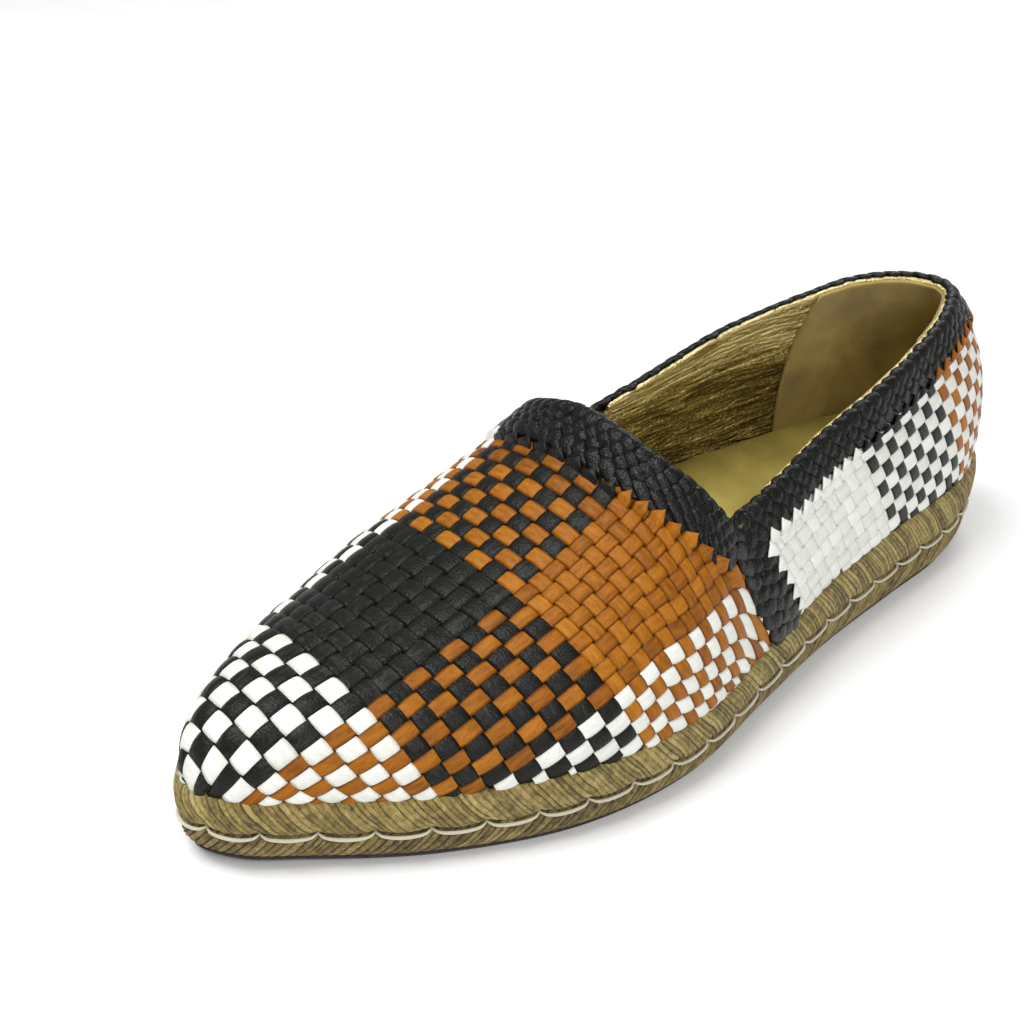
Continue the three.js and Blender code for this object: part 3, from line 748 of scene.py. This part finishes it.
# distance down the side of the columns of the check, at the throat and at the toe
middle_p = [[-24, -92.0], [-16, -58.6], [-8, -25], [0, 17.5], [8, 49.5], [16, 83.1], [24, 118]]
toe_p = [[-24, -88.0], [-16, -52.7], [-8, -17.5], [0, 21], [8, 50.6], [16, 84], [24, 118]]


def vamp_place(c, r):
    """Chart place of column c and row r of the check: columns narrow towards the toe and spread at the corner
    of the throat, and rows bend back down the sides, more so at the toe."""
    q0 = np.interp(r, [-40, -8, 0, 12], [68.6 - 32 * 4.12, 68.6, 110, 176])
    q = q0
    for _ in range(4):
        w = np.clip((q - 85) / 30, 0, 1)
        w = w * w * (3 - 2 * w)
        p = np.interp(c, *np.array(middle_p).T) * (1 - w) + np.interp(c, *np.array(toe_p).T) * w
        p = p + .25 * np.maximum(45 - q, 0) * np.clip(c / 8, 0, 1.3) ** 1.5
        q = q0 - 7 * np.abs(p / np.interp(q0, [100, 120, 142], [47, 34, 22])) ** 2.25
    return q, p


def seam_y(z):
    """The side seam in side view: a straight line that runs back as it falls."""
    return .0984 * length - .548 * z


def covered(p):
    """Where the upper is woven: outside the binding and above the edge of the sole."""
    return ~in_opening(p, 6.5) & (p[..., 2] > sole_top(np.clip(station(p[..., 1]), 0, 1)) - .7)


def kept_vamp(p):
    """In front of the side seams."""
    return covered(p) & (p[..., 1] < seam_y(p[..., 2]) - .2)


def strap_lines(place, columns, rows, lengthwise, dense):
    """The straps of one direction: the number of each, dense places to a crossing along it, and a function
    for the chart place of a place along it, shifted across it."""
    numbers, span = (columns, rows) if lengthwise else (rows, columns)
    along = np.arange(span[0] * dense, span[1] * dense + 1) / dense
    for k in range(*numbers):
        def own(at, shift=0.0, k=k):
            middle = np.full_like(at, k + .5) + shift
            return place(middle, at) if lengthwise else place(at, middle)

        yield k, along, own


def weave(chart, place, columns, rows, lengthwise, colour, kept, high=.34, crown=.17, breadth=1.0):
    """All straps of one direction. A strap's height is the cosine of its place along the crossings, with flat
    tops, and alternates from strap to strap; it is drawn where kept says so."""
    parts = []
    dense, lift, fewest = 8, .12, 4
    for k, along, own in strap_lines(place, columns, rows, lengthwise, dense):
        cross = np.cos(np.pi * (along - .5) + np.pi * k)
        wave = (-cross if lengthwise else cross)
        wave = np.sign(wave) * np.abs(wave) ** .6
        g = .5 * pinch(wave) * breadth
        lo, hi = own(along, -g), own(along, g)
        mid, half = (np.add(hi, lo) / 2, np.subtract(hi, lo) / 2)
        height = lift + high * wave
        for a, b in runs(kept(laid_on(chart, *own(along))), fewest):
            cut = slice(a, b + 1)
            band = strap(mid[:, cut], half[:, cut], height[cut], chart, crown=crown)
            parts.append((band, colour(k), 7.3 * k))
    return parts


def band_colour(k):
    """Bands of eight straps: white, black and tan in turn, counted from the white one at 0."""
    return (WHITE, BLACK, TAN)[k // 8 % 3]


def row_colour(j):
    """The vamp's rows: white at the toe, then eight black ones, then tan ones back to the seams."""
    return WHITE if j >= 0 else BLACK if j >= -8 else TAN


# for each direction: chart, place, columns, rows, whether it runs lengthwise, colours, and where it is kept
vamp_columns = vamp, vamp_place, (-21, 17), (-36, 7), True, lambda k: band_colour(k + 16), kept_vamp
vamp_rows = vamp, vamp_place, (-21, 17), (-36, 7), False, row_colour, kept_vamp
vamp_long = join_straps("vamp_straps_long", weave(*vamp_columns), straps)
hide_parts("woven_upper")
vamp_cross = join_straps("vamp_straps_cross", weave(*vamp_rows), straps)

# Woven quarters
# The same straps round the heel: white ones run parallel to the top line, and the crossing ones lean
# towards the toe as they rise, in bands of eight.


def quarter_place(c, r):
    """Chart place of column c, counted back from the outer seam, and row r, counted down from the top line.
    Columns lean in proportion to the height, not at the back of the heel, and the other way beyond it."""
    upright = 84.0 - 4.63 * c
    s = upright / foot_loop
    for _ in range(4):
        v = np.interp(s, quarter_s, top_v) - 11.0 - 4.9 * r
        lean = .6 * (v - 16) * np.sin(np.pi / 2 * np.clip(s / .10, -1, 1))
        s = (upright + lean) / foot_loop
    return s, v


def kept_quarter(p):
    """Behind the side seams."""
    return covered(p) & (p[..., 1] > seam_y(p[..., 2]) + .2)


def column_colour(k):
    """The quarters' columns: white next to the outer seam, then bands of eight round the heel."""
    return WHITE if k < 0 else band_colour(k + 8)


quarter_rows = quarter, quarter_place, (-13, 50), (-3, 11), False, lambda j: WHITE, kept_quarter
quarter_columns = quarter, quarter_place, (-13, 50), (-3, 11), True, column_colour, kept_quarter
level = weave(*quarter_rows, high=.2, crown=.07, breadth=1.07)
heel_long = join_straps("quarter_straps_long", level, straps)
leaning = weave(*quarter_columns, high=.2, crown=.07, breadth=.9)
heel_cross = join_straps("quarter_straps_cross", leaning, straps)

# Top binding
# Flat plaits of soft black leather sewn over the raw edge: one round the throat, one round the collar.
# Each wraps over the lip to the inside.
plait_leather = strap_leather("plait leather", [
    (.25, .0022, .0024, .0018), (.57, .0040, .0046, .0034), (.80, .036, .041, .035)],
    rough=.29, vary=.2, crinkle=3.4, specular=.21)


def plait(edge_a, edge_b, in_a, in_b, chart, width, strand_count, period, base, wrap=0.0, ends=0.0):
    """Flat plait along an edge line of a chart. Each strand swings from side to side as a triangle wave with
    rounded turns, goes over and under the strands that swing the other way, and turns round the side.
    (in_a, in_b) is the chart step for one millimetre away from the edge. The last wrap millimetres roll over
    the lip to the inside, on a circle, and ends is how far the strands sink at both ends of the plait."""
    edge = laid_on(chart, edge_a, edge_b)
    far = np.r_[0, np.cumsum(np.linalg.norm(np.diff(edge, axis=0), axis=1))]
    total = far[-1]
    rng = np.random.default_rng(3)
    step, thick, rounding = .55, .9, .965
    u = np.linspace(0, total, int(total / step))
    parts = []
    full = width + wrap
    for i in range(strand_count):
        theta = u / period + i / strand_count
        tri = .5 - np.arcsin(rounding * np.cos(2 * np.pi * theta)) / (2 * np.arcsin(rounding))
        rising = np.where(theta % 1 < .5, 1, -1)
        x = strand_count * tri
        h = rising * np.cos(np.pi * x)
        other_side = (-1.0) ** (strand_count - 1)
        h = np.where(x < 1, -rising * np.sin(np.pi * x / 2), h)
        h = np.where(x > strand_count - 1, other_side * rising * np.sin(np.pi * (strand_count - x) / 2), h)
        wide = period / strand_count * np.sin(np.arctan(2 * full / period)) * 1.06
        loose = [sum(np.sin(u * f + g) for f, g in zip(rng.uniform(.25, 1.2, 4), rng.uniform(0, 6.3, 4))) / 3
                 for _ in range(3)]
        v = wide * .45 + (full - wide * .9) * tri + .30 * loose[0]
        slope_u, slope_v = np.gradient(u), np.gradient(v)
        size = np.hypot(slope_u, slope_v)
        across_u, across_v = -slope_v / size, slope_u / size
        w = np.r_[np.linspace(-1, 1, 7), .9, -.9]
        breadth = wide * .5 * (1 + .08 * h + .09 * loose[1])
        uu = u[:, None] + across_u[:, None] * w * breadth[:, None]
        vv = v[:, None] + across_v[:, None] * w * breadth[:, None]
        section = np.r_[(.24 * (1 - w**2) - .14 * np.abs(w) ** 4)[:7], -thick, -thick]
        lift = (base + .38 * h + .14 * loose[2])[:, None] + section
        sink = np.maximum(np.exp(-(u / 2.2) ** 2), np.exp(-((total - u) / 2.2) ** 2))
        lift = lift - ends * sink[:, None]
        ea, eb = np.interp(uu, far, edge_a), np.interp(uu, far, edge_b)
        sa, sb = np.interp(uu, far, in_a), np.interp(uu, far, in_b)
        past = np.clip(wrap - vv, 0, None)
        on = np.clip(vv - wrap, 0, None)
        flat = laid_on(chart, ea + sa * on, eb + sb * on)
        up_one = laid_on(chart, ea + sa * on, eb + sb * on, 1) - flat
        away = laid_on(chart, ea + sa, eb + sb) - laid_on(chart, ea, eb)
        away -= up_one * np.sum(away * up_one, -1)[..., None]
        away /= np.linalg.norm(away, axis=-1)[..., None] + 1e-9
        r = wall * .5
        phi = past / (r + .6)
        normal = up_one * np.cos(phi)[..., None] - away * np.sin(phi)[..., None]
        pts = flat - up_one * r + normal * (r + lift)[..., None]
        parts.append((pts, 0, 5.0 * i))
    return parts


def steps_across(q, p):
    """Steps of one millimetre across a line of the vamp chart, at each of its points."""
    step = np.array([np.gradient(p), -np.gradient(q)])
    return step / np.hypot(*step)


# throat: the curve where the plan line of the opening meets the last, evened out and cut off at the corners
plan = np.linspace(-np.pi / 2, np.pi / 2, 241)
plan_x = throat_aside + throat_half * np.sign(np.sin(plan)) * np.abs(np.sin(plan)) ** throat_round
throat_q = np.interp(station(-throat_deep * np.cos(plan)), walk_t, walk_q)
row = laid_on(vamp, throat_q[:, None] + 0 * vamp_p, vamp_p + 0 * throat_q[:, None])
upper_side = slice(100, 341)
throat_p = np.array([np.interp(x, r[upper_side, 0], vamp_p[upper_side]) for x, r in zip(plan_x, row)])
throat = np.array([throat_q, throat_p])[:, np.abs(throat_p) < 60]
far = np.r_[0, np.cumsum(np.hypot(*np.diff(throat)))]
throat = np.array([np.interp(np.linspace(0, far[-1], 160), far, x) for x in throat])
for _ in range(12):
    throat[:, 1:-1] = (throat[:, :-2] + 2 * throat[:, 1:-1] + throat[:, 2:]) / 4
corner_to_corner = slice(8, 158)
across = steps_across(*throat)[:, corner_to_corner]
lip, wrap = 2.2, 2.4
edge = throat[:, corner_to_corner] + lip * across
throat_line = laid_on(vamp, *edge)
parts = plait(*edge, *across, vamp, width=11.0, strand_count=5, period=19.0, base=.95, wrap=wrap, ends=1.0)
throat_plait = join_straps("throat_plait", parts, [plait_leather])
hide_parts("collar_binding")

# collar: along the top line from the inner throat corner round the heel to the outer one
s_collar = np.linspace(-.2535, .2505, 400)
v_collar = np.interp(s_collar, quarter_s, top_v)
v_collar = np.convolve(np.pad(v_collar, 4, mode="edge"), np.ones(9) / 9, mode="valid") - lip
collar_line = laid_on(quarter, s_collar, v_collar)
down_s, down_v = 0 * s_collar, 0 * s_collar - 1
parts = plait(s_collar, v_collar, down_s, down_v, quarter, width=8.8, strand_count=4, period=16.5, base=1.0,
              wrap=wrap, ends=.6)
collar_plait = join_straps("collar_plait", parts, [plait_leather])

# Side seams
# A short plait on each side covers the join of vamp and quarter, from the throat corner to the sole.
z_line = np.linspace(17.0, 51.5, 80)
q_line = np.interp(station(seam_y(z_line)), walk_t, walk_q)
seam_lines = []
for name, side, node in (("seam_plait_outer", 1, "seam_binding_outer"),
                         ("seam_plait_inner", -1, "seam_binding_inner")):
    p_all = vamp_p[vamp_p * side >= 0][::side]
    wall_z = laid_on(vamp, q_line[:, None] + 0 * p_all, p_all + 0 * q_line[:, None])[..., 2]
    p_line = np.array([np.interp(-z, -w, p_all) for z, w in zip(z_line, wall_z)])
    seam_lines.append(laid_on(vamp, q_line, p_line))
    across = steps_across(q_line, p_line)
    edge = np.array([q_line, p_line]) - across * (6.8 + side)
    parts = plait(*edge, *across, vamp, width=13.6, strand_count=4, period=19.0, base=.95, ends=.8)
    seam = join_straps(name, parts, [plait_leather])
    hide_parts(node)

# Strap ends
# Where a strap meets a plait its end is cut to a point and folded over the edge of the plait.
corners = np.array([line[-1] for line in seam_lines])


def nearest(spots, line):
    """Distance of each spot from the nearest point of a line."""
    return np.min(np.linalg.norm(spots[:, None] - line[None], axis=-1), 1)


def tips(chart, place, columns, rows, lengthwise, colour, kept, borders, others, size=1.0):
    """Ends of the straps of one direction, where each meets the edge of a plait. borders holds the line of
    each plait with the distance from it to the plait's edge, and others the same for the plaits that hide an
    end. An end rises over the edge, tapers to a point and drifts to one side; corners have none."""
    parts = []
    rng = np.random.default_rng(5)
    dense, bare_corner = 16, 13
    for k, along, own in strap_lines(place, columns, rows, lengthwise, dense):
        spot = laid_on(chart, *own(along))
        gap = np.min([nearest(spot, line) - wide for line, wide in borders], 0)
        shown = kept(spot) & (spot[:, 2] > sole_top(np.clip(station(spot[:, 1]), 0, 1)) + .5)
        shown &= nearest(spot, corners) > bare_corner
        for line, wide in others:
            shown &= nearest(spot, line) > wide
        for m in np.flatnonzero((np.diff(np.sign(gap)) != 0) & shown[:-1] & shown[1:]):
            way = 1 if gap[m + 1] < gap[m] else -1
            u = np.linspace(0, 1, 9)
            reach = rng.uniform(.88, 1.18) * size * (.7 if colour(k) == BLACK else 1)
            r = along[m] + way * (-.42 + reach * u)
            taper = .46 * np.clip((1 - u) / .62, .05, 1)
            drift = .22 * np.clip(u - .3, 0, 1) * (1 if k % 2 else .6)
            mid, low, high = (own(r, shift) for shift in (drift, drift - taper, drift + taper))
            half = np.subtract(high, low) / 2
            rise = np.clip(u / .45, 0, 1)
            lift = .45 + 1.25 * rise * rise * (3 - 2 * rise)
            parts.append((strap(mid, half, lift, chart, thick=.45, crown=.12), colour(k), 3.1 * k))
    return parts


parts = tips(*vamp_columns, [(throat_line, 10.9)], [(line, 8.5) for line in seam_lines])
parts += tips(*vamp_rows, [(line, 7.5) for line in seam_lines], [(throat_line, 11.5)])
parts += tips(*quarter_columns, [(collar_line, 8.7)], [(line, 6.5) for line in seam_lines], size=.86)
parts += tips(*quarter_rows, [(line, 5.5) for line in seam_lines], [(collar_line, 9.0)])
strap_tips = join_straps("strap_tips", parts, straps)

# Studio
# Plain pale floor, a large soft lamp above the left shoulder of the camera, and a fill from the right.
floor_mesh = bpy.data.meshes.new("floor")
floor_mesh.from_pydata([(-3, -3, 0), (3, -3, 0), (3, 3, 0), (-3, 3, 0)], [], [(0, 1, 2, 3)])
floor = bpy.data.objects.new("floor", floor_mesh)
bpy.context.scene.collection.objects.link(floor)
pale, add, wire = material("floor", .9)
speck = noise(add, add("TexCoord", {}, out=3), 30.0)
wire("Base Color", shades(add, speck, [(.3, .86, .86, .86), (.7, .88, .88, .88)]))
floor_mesh.materials.append(pale)
world = bpy.data.worlds.new("studio")
world.use_nodes = True
world.node_tree.nodes["Background"].inputs[0].default_value = (1, 1, 1, 1)
world.node_tree.nodes["Background"].inputs[1].default_value = .42
bpy.context.scene.view_settings.view_transform = "Standard"
bpy.context.scene.world = world


def lamp(name, at, aim, size, power):
    """Square white area lamp that looks from one point at another."""
    data = bpy.data.lights.new(name, "AREA")
    data.size, data.energy = size, power
    item = bpy.data.objects.new(name, data)
    item.location = at
    way = np.array(aim) - np.array(at)
    item.rotation_mode = "QUATERNION"
    item.rotation_quaternion = Vector(way).to_track_quat("-Z", "Y")
    bpy.context.scene.collection.objects.link(item)


over_floor = (0, 0, .03)
lamp("key", (-.15, -.48, 1.1), over_floor, size=.6, power=11.5)
lamp("fill", (.95, -.40, .75), over_floor, size=.8, power=8.0)
lamp("back", (-.4, .9, .9), over_floor, size=.6, power=5.5)

# Camera
# The photograph's viewing angle: the near side and the toe, from above, slightly rolled.
azimuth, elevation, roll = (math.radians(a) for a in (48.19, 30.12, 2.67))
back = np.array([math.sin(azimuth) * math.cos(elevation), -math.cos(azimuth) * math.cos(elevation),
                 math.sin(elevation)])
level = np.array([math.cos(azimuth), math.sin(azimuth), 0])
upright = np.cross(back, level)
right = math.cos(roll) * level + math.sin(roll) * upright
above = -math.sin(roll) * level + math.cos(roll) * upright
middle, distance, aside, higher = np.array([0, 0, 30.0]), 390.35, -31.49, 7.9
eye = middle + back * distance + right * aside + above * higher + to_middle
focal_pixels, picture_pixels = 1595.96, 1024
camera_data = bpy.data.cameras.new("camera")
camera_data.lens = 36 * focal_pixels / picture_pixels
camera_data.clip_start, camera_data.clip_end = .01, 20
camera = bpy.data.objects.new("camera", camera_data)
bpy.context.scene.collection.objects.link(camera)
axes = [[right[k], above[k], back[k], eye[k] * .001] for k in range(3)]
camera.matrix_world = Matrix(axes + [[0, 0, 0, 1]])
bpy.context.scene.camera = camera
